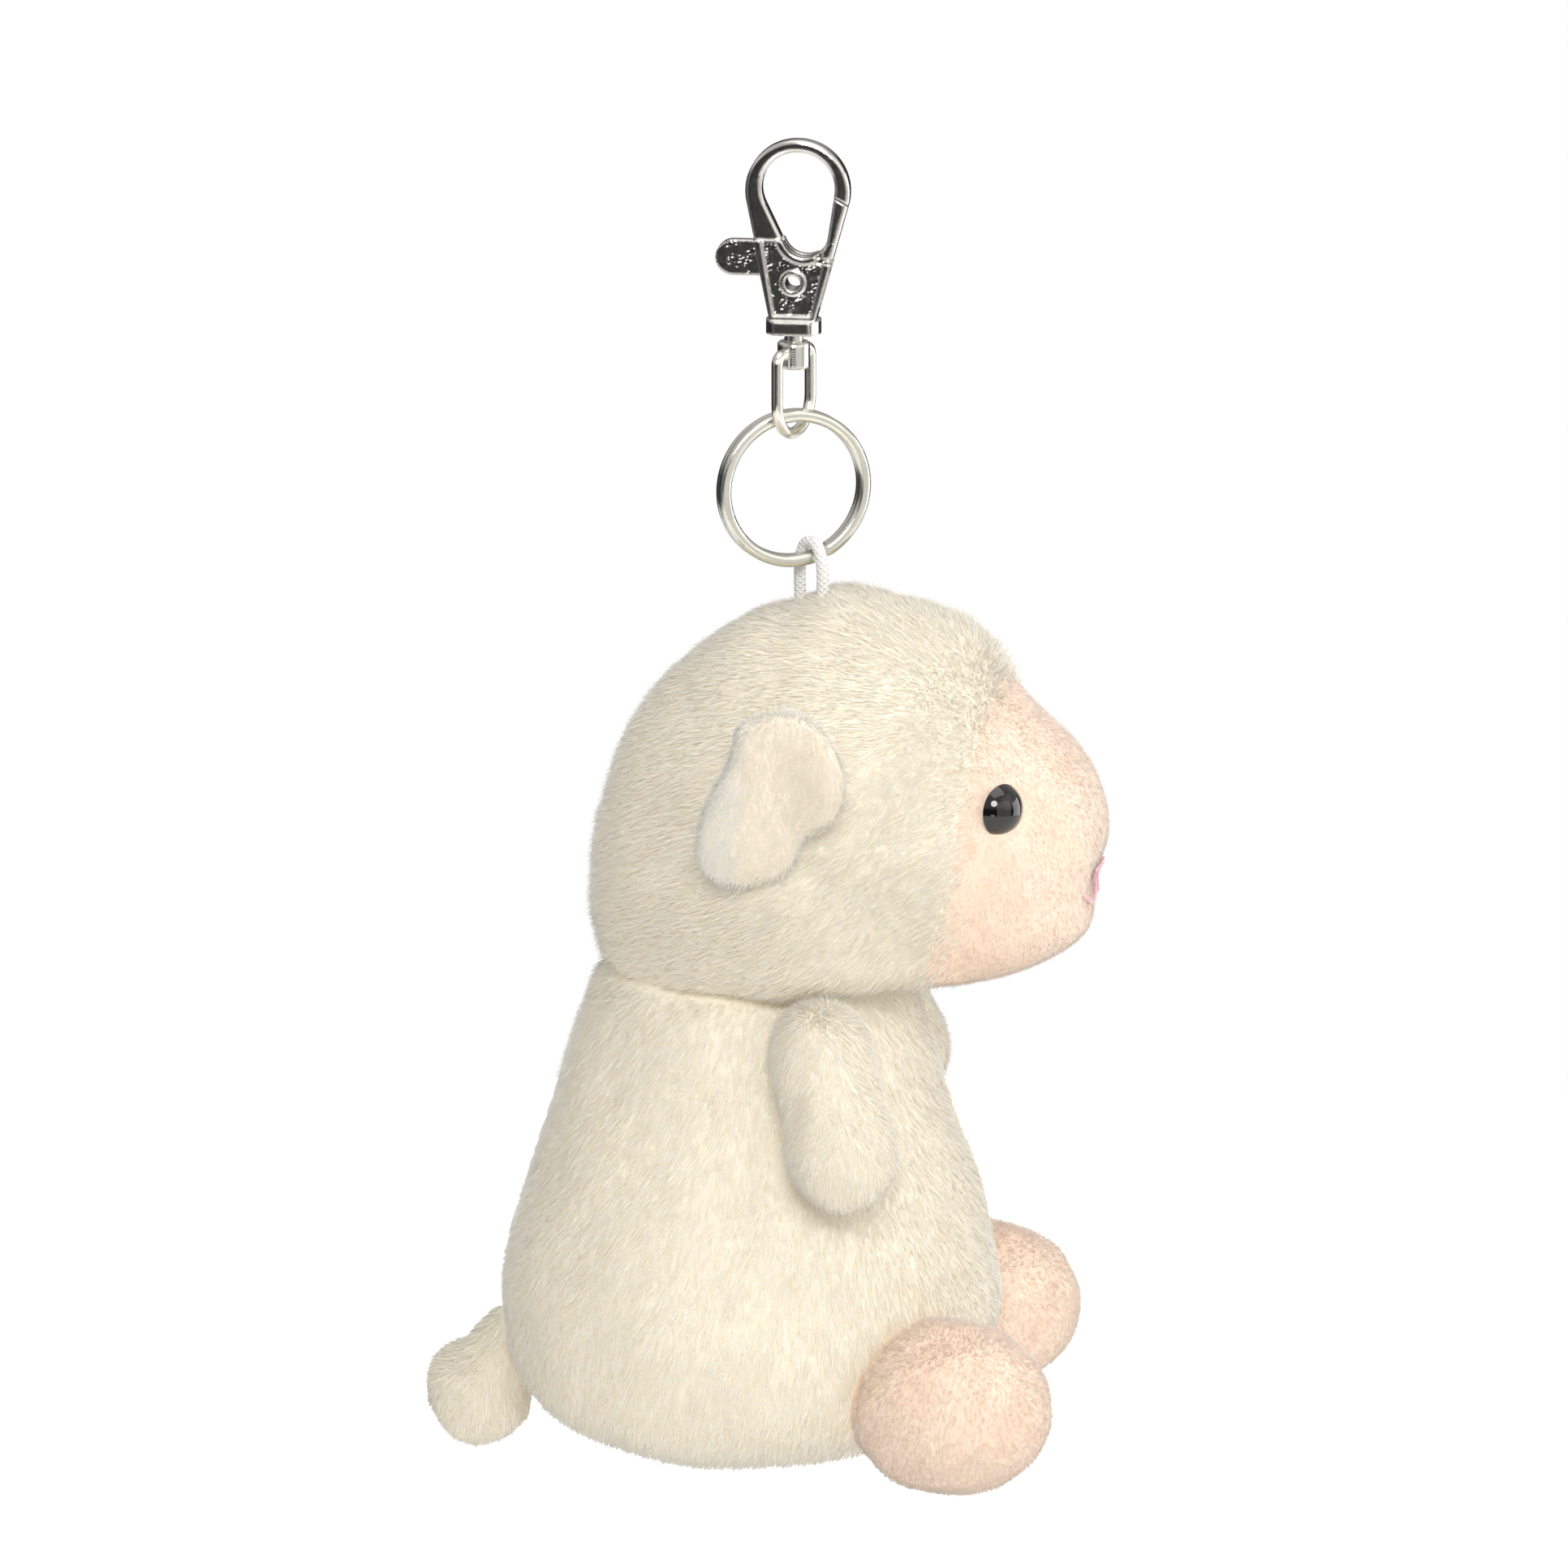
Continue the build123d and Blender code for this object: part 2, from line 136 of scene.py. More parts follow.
def plush_skin(name, deep, light, warm, nap_mm):
    """The cloth under the pile: mottled colour and a fine nap."""
    look = Look(name, light, 0.95, Sheen_Weight=0.35, Sheen_Roughness=0.45, Specular_IOR_Level=0.15)
    look.tint(look.noise(9.0, 3.0), [(0.30, deep), (0.5, light), (0.72, warm)])
    look.bump(look.noise(nap_mm, 2.0), 0.05, 0.5)
    return look.material


def pile_looks(name, colours, painted_glow):
    """Plain fibre materials, one for each shade, with a painted glow: an even emission that stands for light
    passed on from fibre to fibre.
    """
    return [Look(f"{name}_{i}", c, 0.9, Sheen_Weight=0.7, Sheen_Roughness=0.35, Specular_IOR_Level=0.15,
                 Emission_Color=(*c, 1), Emission_Strength=painted_glow).material for i, c in enumerate(colours)]


def nickel(name, colour, low, high, grain_mm=0.5, edge_mm=0.5):
    look = Look(name, colour, 0.15, Metallic=1.0)
    look.rough(look.noise(grain_mm, 4.0), low, high)
    look.tint(look.noise(2.5, 3.0), [(0.3, [c * 0.93 for c in colour]), (0.7, colour)])
    look.soft_edges(edge_mm)
    return look


CREAM = linear(252, 244, 226)
CREAM_DEEP = linear(243, 232, 209)
CREAM_WARM = linear(253, 242, 218)
PEACH = linear(250, 227, 207)
PEACH_DEEP = linear(246, 215, 192)
PEACH_WARM = linear(253, 223, 198)
NICKEL = (0.80, 0.785, 0.745)

cream_skin = plush_skin("cream_skin", CREAM_DEEP, CREAM, CREAM_WARM, 0.45)
peach_skin = plush_skin("peach_skin", PEACH_DEEP, PEACH, PEACH_WARM, 0.28)
ear_skin = plush_skin("ear_skin", linear(246, 232, 212), linear(252, 240, 222), linear(253, 242, 222), 0.28)
# the last number of each set is its painted glow, an emission standing in for light passed between fibres
cream_pile = pile_looks("cream_pile", [CREAM, CREAM_WARM, linear(255, 250, 236), CREAM_DEEP], 0.16)
ear_pile = pile_looks("ear_pile", [linear(254, 243, 224), linear(252, 238, 217)], 0.10)
rim_pile = pile_looks("rim_pile", [linear(245, 244, 236), linear(238, 236, 228), CREAM], 0.12)
peach_pile = pile_looks("peach_pile", [PEACH, PEACH_WARM, linear(255, 238, 224), PEACH_DEEP], 0.07)


CHEEK_TOP_Z = -11.2
SUNK_DEPTH_HOOK, SUNK_DEPTH_CHEEK = 1.04, 1.54


def cast_nickel():
    """Polished casting, pebbled in patches of its sunk fields, which lie deeper than the rims."""
    look = nickel("nickel_cast", NICKEL, 0.07, 0.2)
    spot = look.node("SeparateXYZ", {"Vector": look.place()})
    face = look.node("SeparateXYZ", {"Vector": look.node("NewGeometry").outputs["Normal"]})
    depth = look.maths("ABSOLUTE", spot.outputs["X"])
    on_cheek = look.maths("LESS_THAN", spot.outputs["Z"], CHEEK_TOP_Z * MM)
    extra = look.maths("MULTIPLY", on_cheek, (SUNK_DEPTH_CHEEK - SUNK_DEPTH_HOOK) * MM)
    limit = look.maths("ADD", extra, SUNK_DEPTH_HOOK * MM)
    faces_side = look.maths("GREATER_THAN", look.maths("ABSOLUTE", face.outputs["X"]), 0.85)
    sunk = look.maths("MULTIPLY", look.maths("LESS_THAN", depth, limit), faces_side)
    pebble_inputs = {"Vector": look.place(), "Scale": 1 / (0.42 * MM)}
    pebbles = look.node("TexVoronoi", pebble_inputs, feature="SMOOTH_F1").outputs["Distance"]
    patches = look.maths("GREATER_THAN", look.noise(1.6, 2.0), 0.5)
    look.bump(look.maths("MULTIPLY", pebbles, look.maths("MULTIPLY", patches, sunk)), 0.09, 1.0)
    look.bump(look.noise(1.4, 2.0), 0.012, 0.5)
    return look.material


def turned_nickel():
    look = nickel("nickel_turned", NICKEL, 0.12, 0.26)
    look.bump(look.bands(0.16, "Z", 1.0), 0.006, 0.5)
    return look.material


def wire_nickel(name, low, high):
    look = nickel(name, (0.84, 0.825, 0.745), low, high, 0.35, 0.42)
    look.bump(look.noise(0.22, 3.0, stretch=(1, 1, 0.25)), 0.004, 0.5)
    return look


RING_C, RING_R, RING_YAW = Vector((0, 0.6, -42.1)), 9.1, math.radians(116.5)
WORN_R = 1.2


def ring_nickel():
    """Wire whose flats are worn round: the height falls away to both sides of the middle of the flat."""
    look = wire_nickel("nickel_ring", 0.12, 0.3)
    away = look.node("VectorMath", {0: look.place(), 1: RING_C * MM}, operation="SUBTRACT").outputs[0]
    axis = (math.sin(RING_YAW), -math.cos(RING_YAW), 0)
    axial = look.node("VectorMath", {0: away, 1: axis}, operation="DOT_PRODUCT").outputs["Value"]
    total = look.node("VectorMath", {0: away}, operation="LENGTH").outputs["Value"]
    across = look.maths("SUBTRACT", look.maths("POWER", total, 2.0), look.maths("POWER", axial, 2.0))
    off = look.maths("SUBTRACT", look.maths("SQRT", across), RING_R * MM)
    fall = look.maths("MULTIPLY", look.maths("MULTIPLY", off, off), -0.5 / (WORN_R * MM))
    look.bump(fall, 1 / MM)
    return look.material


def cord_look():
    """Braided cord: two sets of crossing strands, its colour darker where the braid lies low, as painted
    shade in the grooves.
    """
    look = Look("cord_braid", linear(250, 250, 249), 0.62, Sheen_Weight=0.2, Specular_IOR_Level=0.4)
    waves = []
    for slant in (0.7, -0.7):
        laid = look.node("Mapping", {"Vector": look.place(), "Rotation": (slant, 0, slant)}).outputs[0]
        inputs = {"Vector": laid, "Scale": 0.314 / (0.55 * MM), "Distortion": 0.6}
        waves.append(look.node("TexWave", inputs, bands_direction="Z").outputs["Fac"])
    braid = look.maths("MULTIPLY", *waves)
    look.bump(braid, 0.16, 1.0)
    look.bump(look.noise(0.12, 2.0), 0.03, 0.6)
    # painted shade: the tint darkens the cord where the braid lies low, between the strands
    look.tint(braid, [(0.0, linear(236, 236, 234)), (0.6, linear(254, 254, 253))])
    return look.material


def eye_gloss():
    look = Look("eye_gloss", (0.006, 0.005, 0.005), 0.05,
                Specular_IOR_Level=0.3, Coat_Weight=1.0, Coat_Roughness=0.02, Coat_IOR=1.5)
    look.rough(look.noise(0.9, 4.0), 0.03, 0.10)
    look.bump(look.noise(1.8, 2.0), 0.004, 0.3)
    return look.material


def simple(name, colour, roughness, size_mm, depth_mm, **sockets):
    look = Look(name, colour, roughness, **sockets)
    look.tint(look.noise(size_mm * 3), [(0.3, [c * 0.86 for c in colour]), (0.7, colour)])
    look.bump(look.noise(size_mm), depth_mm, 0.8)
    return look.material


def dress(names, material):
    for name in names:
        mesh = nodes[name].data
        mesh.materials.clear()
        mesh.materials.append(material)


dress(["clasp_body", "clasp_gate"], cast_nickel())
dress(["clasp_rivet", "swivel_stud", "swivel_ferrule"], turned_nickel())
dress(["bail"], wire_nickel("nickel_wire", 0.09, 0.2).material)
dress(["split_ring"], ring_nickel())
dress(["gate_spring"], simple("spring_steel", (0.42, 0.42, 0.43), 0.3, 0.4, 0.01, Metallic=1.0))
dress(["eye_right", "eye_left"], eye_gloss())
washer_look = simple("washer_plastic", linear(236, 235, 230), 0.5, 0.6, 0.02)
dress(["eye_washer_right", "eye_washer_left"], washer_look)
dress(["pellet_bag"], simple("bag_cloth", linear(232, 230, 222), 0.9, 0.5, 0.05))
dress(["pellet_fill"], simple("pellets", linear(226, 226, 222), 0.45, 2.5, 0.4))
dress(["cord_knot"], simple("knot_cord", linear(244, 244, 242), 0.7, 0.5, 0.1))


# ---------------------------------------------------------------- soft forms, in millimetres

def sphere(level):
    """Unit directions and triangles of an icosphere."""
    bm = bmesh.new()
    bmesh.ops.create_icosphere(bm, subdivisions=level, radius=1)
    points = np.array([v.co[:] for v in bm.verts])
    faces = np.array([[v.index for v in f.verts] for f in bm.faces])
    bm.free()
    return points / np.linalg.norm(points, axis=1)[:, None], faces


def length(v):
    return np.linalg.norm(v, axis=1)


def unit(v):
    return v / np.maximum(length(v), 1e-9)[:, None]


def ellipsoid(p, centre, semi, turn=0.0):
    q = p - np.array(centre, float)
    c, s = math.cos(turn), math.sin(turn)
    q = np.stack([c * q[:, 0] + s * q[:, 1], c * q[:, 1] - s * q[:, 0], q[:, 2]], axis=1)
    k = length(q / np.array(semi))
    return k * (k - 1) / np.maximum(length(q / np.square(np.array(semi, float))), 1e-9)


def turned(p, centre, outline):
    """A form turned about the vertical through centre, from (radius, height) points, top to bottom."""
    knots = np.array(outline, float) - np.array([0, centre[2]])
    dense = smooth_line(knots)
    angle = np.arctan2(dense[:, 0], dense[:, 1])
    q = p - np.array(centre, float)
    here = np.arctan2(np.hypot(q[:, 0], q[:, 1]), q[:, 2])
    return length(q) - np.interp(here, angle, np.hypot(dense[:, 0], dense[:, 1]))


def smooth_line(knots, steps=24):
    """Catmull-Rom line through the knots."""
    padded = np.vstack([2 * knots[0] - knots[1], knots, 2 * knots[-1] - knots[-2]])
    t = np.linspace(0, 1, steps, endpoint=False)[:, None]
    spans = []
    for a, b, c, d in zip(padded, padded[1:], padded[2:], padded[3:]):
        square, cube = 2 * a - 5 * b + 4 * c - d, 3 * b - a - 3 * c + d
        spans.append(0.5 * (2 * b + (c - a) * t + square * t ** 2 + cube * t ** 3))
    return np.vstack(spans + [knots[-1:]])


def drop(p, root, root_r, tip, tip_r):
    """A round-ended taper."""
    root, tip = np.array(root, float), np.array(tip, float)
    along = tip - root
    t = np.clip((p - root) @ along / (along @ along), 0, 1)
    return length(p - root - t[:, None] * along) - (root_r + (tip_r - root_r) * t)


def blended(a, b, soft):
    return np.minimum(a, b) - np.maximum(soft - np.abs(a - b), 0) ** 2 / (4 * soft)


def lumps(p, size, seed, waves=7):
    """Smooth noise of about -1 to 1."""
    rng = np.random.default_rng(seed)
    total = np.zeros(len(p))
    for _ in range(waves):
        k = rng.normal(size=3)
        k *= math.tau / (size * np.linalg.norm(k)) * rng.uniform(0.6, 1.5)
        total += np.sin(p @ k + rng.uniform(0, math.tau))
    return total / math.sqrt(waves)


def mirrored(point, side):
    return (side * point[0], point[1], point[2])


HEAD_C = (0, -1.6, -80.9)
HEAD_LINE = [(0, -53.3), (10.5, -55.4), (19.5, -61.4), (25.5, -70.3), (27.6, -80.9), (27.6, -90.0),
             (26.8, -97.0), (24.0, -104.0), (14.0, -106.0), (0, -106.6)]
BODY_C = (0, 5.9, -136)
BODY_LINE = [(0, -97.5), (12, -98.0), (18.2, -100.6), (21.6, -106.5), (25.2, -118), (28.8, -129),
             (31.0, -138), (31.7, -146), (28.5, -156.4), (18, -162.6), (8, -164), (0, -164.1)]
FOOT_C = {-1: (-22.5, -21.4, -152.2), 1: (22.5, -19.8, -150.8)}
SEAM_AT, SEAM_OUT = np.array([0, -20.5, -88.0]), np.array([0, -1.0, -0.2]) / math.hypot(1.0, 0.2)


def head_form(p):
    wool = turned(p, HEAD_C, HEAD_LINE) - lean(p)
    muzzle = ellipsoid(p, (0, -19.8, -84.8), (21, 18.6, 17.8))
    chin = ellipsoid(p, (0, -23.0, -92.2), (17, 14.8, 9.8))
    return blended(blended(muzzle, chin, 2.5), wool, 5.0)


def body_form(p):
    return turned(p, BODY_C, BODY_LINE)


def foot_form(side):
    """The left foot rides a little higher than the right one."""
    centre = FOOT_C[side]
    return lambda p: ellipsoid(p, centre, (11.9, 13.6, 11.1), math.radians(side * 28))


def arm_form(side):
    root, tip = mirrored((22.4, -5.4, -108), side), mirrored((28.0, -8.8, -119.4), side)
    return lambda p: drop(p, root, 6.8, tip, 7.1)


def arm_crease(p):
    """The dip in the body behind each arm."""
    total = np.zeros(len(p))
    for side in (-1, 1):
        away = drop(p, mirrored((25.5, 3.0, -107), side), 0, mirrored((31.0, -0.5, -121), side), 0)
        total -= 3.6 * np.exp(-np.square(away / 2.8))
    return total


def tail_form(p):
    return drop(p, (0, 34.8, -149.3), 3.9, (0, 39.8, -157.6), 6.9)


class Skin:
    """A closed soft surface found along rays from a centre, with its normals."""

    def __init__(self, form, centre, level, reach=60.0, shift=None):
        rays, self.faces = sphere(level)
        near, far = np.zeros(len(rays)), np.full(len(rays), reach)
        for _ in range(24):
            middle = (near + far) / 2
            inside = form(centre + rays * middle[:, None]) < 0
            near, far = np.where(inside, middle, near), np.where(inside, far, middle)
        self.points = np.array(centre, float) + rays * near[:, None]
        if shift:
            self.points = self.points + rays * shift(self.points)[:, None]
        self.find_normals()

    def find_normals(self):
        a, b, c = (self.points[self.faces[:, i]] for i in range(3))
        across = np.cross(b - a, c - a)
        total = np.zeros_like(self.points)
        for i in range(3):
            np.add.at(total, self.faces[:, i], across)
        self.normals = unit(total)
        self.areas = length(across) / 2

    def piece(self, name, body, slot, material, keep=None):
        """A mesh of the faces whose middles keep is true for."""
        faces = self.faces if keep is None else self.faces[keep(self.points[self.faces].mean(axis=1))]
        used, flat = np.unique(faces, return_inverse=True)
        mesh = bpy.data.meshes.new(name)
        mesh.from_pydata((self.points[used] * MM).tolist(), [], flat.reshape(-1, 3).tolist())
        mesh.polygons.foreach_set("use_smooth", np.ones(len(faces), bool))
        mesh.materials.append(material)
        return add(name, mesh, body)


def add(name, data, body):
    piece = bpy.data.objects.new(name, data)
    bpy.context.scene.collection.objects.link(piece)
    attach(piece, body)
    return piece


WOOL = {"slot": "cream_plush", "looks": cream_pile, "tall": 2.0, "wide": 0.13}
ARM_WOOL = {**WOOL, "tall": 1.7}
EAR_WOOL = {**WOOL, "looks": rim_pile, "tall": 1.5, "wide": 0.12}
FACE_NAP = {"slot": "peach_plush", "looks": peach_pile, "tall": 0.8, "wide": 0.10}
FOOT_NAP = {**FACE_NAP, "tall": 0.9}
EAR_NAP = {**FOOT_NAP, "looks": ear_pile}
ROOT_DEPTH = 0.15
RAISE, STRAY, TUFT = 0.38, 0.10, 0.04
SPIKE_FACES = np.array([[0, 2, 1], [0, 1, 3], [1, 2, 3], [2, 0, 3]])


def pile(name, skin, body, kind, count, comb, seed, keep, blur=0.2):
    """Fibres as thin closed spikes that carry the skin's own normals, so that they shade as one soft nap.

    comb is the way the nap lies, keep picks the roots, and blur mixes them across keep's edge.
    """
    rng = np.random.default_rng(seed)
    face = rng.choice(len(skin.faces), size=count, p=skin.areas / skin.areas.sum())
    u, v = rng.random((2, count))
    u, v = np.where(u + v > 1, 1 - u, u), np.where(u + v > 1, 1 - v, v)
    weights = np.stack([1 - u - v, u, v], axis=1)[:, :, None]
    root = (skin.points[skin.faces[face]] * weights).sum(axis=1)
    normal = unit((skin.normals[skin.faces[face]] * weights).sum(axis=1))
    chosen = keep(root + rng.normal(scale=blur, size=(count, 3)))
    root, normal = root[chosen], normal[chosen]
    count = len(root)

    comb = np.array(comb, float)
    flow = comb - (normal @ comb)[:, None] * normal
    tuft = np.stack([lumps(root, 3.4, 7 + i) for i in range(3)], axis=1) * TUFT
    lean = unit(RAISE * normal + flow + tuft + rng.normal(scale=STRAY, size=(count, 3)))
    reach = kind["tall"] * (0.80 + 0.05 * lumps(root, 6.0, seed + 9) + rng.uniform(-0.18, 0.18, count))
    side = unit(np.cross(lean, rng.normal(size=(count, 3))))
    other = np.cross(lean, side)
    corners = np.empty((count, 4, 3))
    for i in range(3):
        a = i * math.tau / 3
        across = side * math.cos(a) + other * math.sin(a)
        corners[:, i] = root - normal * ROOT_DEPTH + across * kind["wide"] / 2
    corners[:, 3] = root + lean * reach[:, None]

    faces = (SPIKE_FACES[None] + np.arange(count)[:, None, None] * 4).reshape(-1, 3)
    mesh = bpy.data.meshes.new(name)
    mesh.from_pydata((corners.reshape(-1, 3) * MM).tolist(), [], faces.tolist())
    for look in kind["looks"]:
        mesh.materials.append(look)
    mesh.polygons.foreach_set("use_smooth", np.ones(len(faces), bool))
    shade = rng.integers(0, len(kind["looks"]), count)
    mesh.polygons.foreach_set("material_index", np.repeat(shade, 4).astype(np.int32))
    mesh.normals_split_custom_set_from_vertices(np.repeat(normal, 4, axis=0).tolist())
    return add(name, mesh, body)


def seam_side(p):
    """Positive on the face panel, negative on the wool."""
    return (p - SEAM_AT) @ SEAM_OUT + 0.5 * lumps(p, 14, 5)


# how far the wool stands in or out of the turned form in the middle plane, by the angle from up to the face
HEAD_LEAN = [(-180, 0), (-115, 0.3), (-101, -0.5), (-88, -1.7), (-74, -2.5), (-61, -3.4), (-43, -4.0),
             (-24, -3.2), (-5, -2.2), (6, -0.6), (24, 0.4), (40, 1.8), (56, 1.2), (75, 0), (100, -1),
             (121, -3.5), (134, -5), (150, -4.5), (165, -2), (180, 0)]


def lean(p):
    """What the wool's form adds to the turned one. Low at the sides it is drawn in, behind the face."""
    q = p - np.array(HEAD_C)
    angle = np.degrees(np.arctan2(-q[:, 1], q[:, 2]))
    amount = np.interp(angle, *np.array(HEAD_LEAN, float).T)
    low = np.clip((-87 - p[:, 2]) / 17, 0, 1)
    behind_face = 1 / (1 + np.exp((-9 - p[:, 1]) / 3))
    jowl = 7.0 * low * low * (3 - 2 * low) * np.square(q[:, 0] / length(q)) * behind_face
    return amount * np.hypot(q[:, 1], q[:, 2]) / length(q) - jowl


def head_shift(p):
    """The wool cap stands proud of the face at the brow, and the muzzle has a dent for the mouth.

    The skin lies inside the outline by the pile's height, which is greater on the wool.
    """
    s = seam_side(p)
    brow = 1.7 * np.clip((p[:, 2] + 82) / 16, 0, 1) / (1 + np.exp(s / 1.3))
    brow = brow * np.exp(-np.square(np.minimum(s, 0) / 6) - np.square(p[:, 0] / 12))
    dent = -1.6 * np.exp(-np.square((p[:, 2] + 91.2) / 3.6) - np.square(p[:, 0] / 9)) * (p[:, 1] < -25)
    return brow + dent + 0.18 * lumps(p, 12, 3) - 0.3 - 0.8 / (1 + np.exp(s / 1.5))


def clear_of(*forms, margin=-0.3):
    return lambda p: np.all([f(p) > margin for f in forms], axis=0)


feet = {side: foot_form(side) for side in (-1, 1)}
arms = {side: arm_form(side) for side in (-1, 1)}
SIDES = ((-1, "right"), (1, "left"))

# head: wool cap and face panel, sewn along one seam
head = Skin(head_form, (0, -7, -84), 7, shift=head_shift)
head_wool = head.piece("head_wool", "plush", "cream_plush", cream_skin, lambda p: seam_side(p) < 0)
head_face = head.piece("head_face", "plush", "peach_plush", peach_skin, lambda p: seam_side(p) >= 0)
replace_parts(head_wool, "head_cover", "head_stuffing")
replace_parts(head_face, "face_cover")

eye_at = {side: np.array([side * 17.4, -27.2, -78.0]) for side in (-1, 1)}


def on_wool(p):
    return (seam_side(p) < 0.4) & (body_form(p) > 0.5)


def on_face_panel(p):
    off_eyes = np.all([length(p - c) > 3.3 for c in eye_at.values()], axis=0)
    return (seam_side(p) > -1.4) & off_eyes & (body_form(p) > 0.5)


for i in range(3):
    pile(f"head_pile_{i + 1}", head, "plush", WOOL, 48000, (0, 0.85, -0.35), 20 + i, on_wool, blur=1.3)
pile("face_pile", head, "plush", FACE_NAP, 140000, (0, 0.25, -0.85), 31, on_face_panel, blur=1.1)


def uneven(amount, size, seed, inset):
    """A skin's shift: soft lumps, and in by the height of the pile."""
    return lambda p: amount * lumps(p, size, seed) - inset


# body
body_shift = uneven(0.25, 16, 8, 1.5)
body = Skin(body_form, (0, 5, -134), 7, shift=lambda p: body_shift(p) + arm_crease(p))
body_skin = body.piece("body_wool", "plush", "cream_plush", cream_skin)
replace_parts(body_skin, "body_cover", "body_stuffing")
for i in range(3):
    pile(f"body_pile_{i + 1}", body, "plush", WOOL, 48000, (0, 0.2, -0.85), 40 + i,
         clear_of(head_form, *feet.values()))

# feet and arms
padded = [head_wool, head_face, body_skin]
for side, word in SIDES:
    foot = Skin(feet[side], FOOT_C[side], 6, shift=uneven(0.15, 8, 12, 0.7))
    foot_skin = foot.piece(f"foot_velboa_{word}", "plush", "peach_plush", peach_skin)
    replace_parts(foot_skin, f"foot_cover_{word}", f"foot_stuffing_{word}")
    pile(f"foot_pile_{word}", foot, "plush", FOOT_NAP, 34000, (0, 0, -0.6), 60 + side, clear_of(body_form))

    arm = Skin(arms[side], (side * 24.5, -8.0, -113), 6, shift=uneven(0.2, 7, 15, 1.0))
    arm_skin = arm.piece(f"arm_wool_{word}", f"arm_{word}", "cream_plush", cream_skin)
    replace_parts(arm_skin, f"arm_cover_{word}", f"arm_stuffing_{word}")
    pile(f"arm_pile_{word}", arm, f"arm_{word}", ARM_WOOL, 26000, (0, 0, -0.85), 70 + side,
         clear_of(body_form, head_form, margin=-2.0))
    padded += [foot_skin, arm_skin]

# tail
tail = Skin(tail_form, (0, 38, -154), 6, shift=uneven(0.25, 7, 18, 0.9))
tail_skin = tail.piece("tail_wool", "tail", "cream_plush", cream_skin)
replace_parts(tail_skin, "tail_cover", "tail_stuffing")
pile("tail_pile", tail, "tail", WOOL, 22000, (0, 0.2, -0.8), 80, clear_of(body_form))
padded.append(tail_skin)


# ears: a wool back that rolls round the edge of a short-pile lining. The edge: forward and up from the middle
EAR_EDGE = [(-3.3, 9.4), (1.6, 10.7), (6.6, 8.3), (8.9, 2.9), (7.8, -1.8), (3.9, -5.0), (1.6, -9.2),
            (-3.3, -11.1), (-7.3, -9.8), (-8.9, -6.7), (-8.0, -1.3), (-5.3, 4.0)]


def ear_skin_on(side, middle):
    """A ball pressed into the ear's outline, thin, cupped a little in front."""
    edge = np.array(EAR_EDGE)
    around = smooth_line(np.vstack([edge, edge[:3]]))
    bearing = np.unwrap(np.arctan2(around[:, 0], around[:, 1]))
    start = bearing[0]
    round_one = bearing < start + math.tau
    bearing, reach = bearing[round_one], np.hypot(around[:, 0], around[:, 1])[round_one]

    skin = Skin(lambda p: length(p) - 1, (0, 0, 0), 7, reach=2)
    ball = skin.points
    flat = np.hypot(ball[:, 1], ball[:, 2])
    here = (np.arctan2(-ball[:, 1], ball[:, 2]) - start) % math.tau + start
    size = np.interp(here, bearing, reach, period=math.tau)
    across, up = -ball[:, 1] / np.maximum(flat, 1e-6), ball[:, 2] / np.maximum(flat, 1e-6)
    spread = size * flat ** 0.85
    forward, rise = across * spread, up * spread
    thick = np.sign(ball[:, 0]) * np.abs(ball[:, 0]) ** 0.9 * 2.9
    cup = 0.9 * np.exp(-(np.square((forward - 2.2) / 4.2) + np.square((rise + 0.5) / 6.5)))
    outward = thick - cup * (thick > -1) + 0.10 * rise + 0.02 * np.square(forward)
    skin.points = middle + np.stack([side * outward, -forward, rise], axis=1)
    if side < 0:
        skin.faces = skin.faces[:, ::-1]
    skin.find_normals()
    return skin


def ear(side, word):
    low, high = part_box(f"ear_back_{word}")
    middle = np.array([side * 28.8, (low.y + high.y) / 2 / MM - 1.6, (low.z + high.z) / 2 / MM - 1.2])
    skin = ear_skin_on(side, middle)

    def lining(p):
        q = p - middle
        roll = 3.4 - 0.9 * q[:, 1] - 0.10 * q[:, 2] + 0.3 * lumps(p, 6, 33)
        return (side * q[:, 0] > 0.4 + 0.10 * q[:, 2]) & (roll > 0)

    back = skin.piece(f"ear_wool_{word}", f"ear_{word}", "cream_plush", cream_skin, lambda p: ~lining(p))
    front = skin.piece(f"ear_velboa_{word}", f"ear_{word}", "peach_plush", ear_skin, lining)
    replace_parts(back, f"ear_back_{word}")
    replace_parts(front, f"ear_lining_{word}")
    outside = clear_of(head_form, margin=0.0)
    pile(f"ear_pile_{word}", skin, f"ear_{word}", EAR_WOOL, 20000, (0, 0.2, -0.6), 90 + side,
         lambda p: ~lining(p) & outside(p), blur=0.8)
    pile(f"ear_nap_{word}", skin, f"ear_{word}", EAR_NAP, 26000, (0, 0, -0.6), 95 + side,
         lambda p: lining(p) & outside(p), blur=0.8)
    return [back, front]


for side, word in SIDES:
    padded += ear(side, word)


# ---------------------------------------------------------------- cord and nose

def tube(name, lines, radius_mm, body, material):
    """Round threads along smooth lines through points in millimetres."""
    curve = bpy.data.curves.new(name, "CURVE")
    curve.dimensions = "3D"
    curve.bevel_depth = radius_mm * MM
    curve.bevel_resolution = 4
    curve.resolution_u = 12
    curve.use_fill_caps = True
    for line in lines:
        spline = curve.splines.new("NURBS")
        spline.points.add(len(line) - 1)
        for point, place in zip(spline.points, line):
            point.co = (*[c * MM for c in place], 1)
        spline.order_u = 3
        spline.use_endpoint_u = True
    curve.materials.append(material)
    return add(name, curve, body)


CORD_YAW = math.radians(43)
CORD_AT = (1.026, -1.458)
CORD_R = 0.75
CORD_ROUTE = [(-0.9, -67.0), (-2.4, -58.0), (-2.4, -49.1), (2.4, -49.1), (2.4, -58.0), (0.9, -67.0)]


def in_cord_plane(a, z):
    return (CORD_AT[0] + a * math.cos(CORD_YAW), CORD_AT[1] + a * math.sin(CORD_YAW), z)


